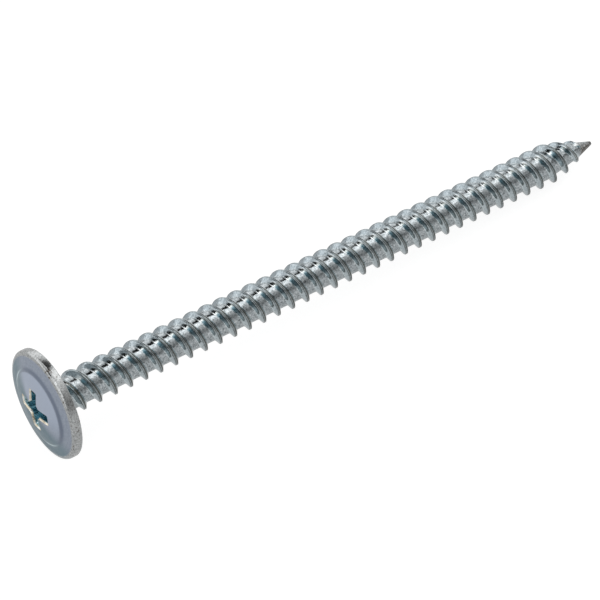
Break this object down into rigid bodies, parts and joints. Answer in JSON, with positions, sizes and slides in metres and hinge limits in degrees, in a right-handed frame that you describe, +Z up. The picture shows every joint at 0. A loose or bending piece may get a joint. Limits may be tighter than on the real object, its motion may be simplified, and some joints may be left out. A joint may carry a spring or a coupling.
{
  "type": "truss head screw",
  "caption": "Fully threaded self-tapping screw with a wide, thin truss head, a raised disc, a cross recess and a sharp point.",
  "frame": {"origin": "on the surface that the lying screw rests on, under the middle of its length", "axes": "+X along the screw towards its tip, +Z up; the axis slopes down by 3.4 degrees towards the tip"},
  "size_m": [0.0668, 0.0112, 0.0112],
  "materials": {
    "zinc_plated_steel": "satin, bright zinc plating"
  },
  "bodies": {
    "root": {"screw": "zinc_plated_steel"}
  },
  "joints": []
}
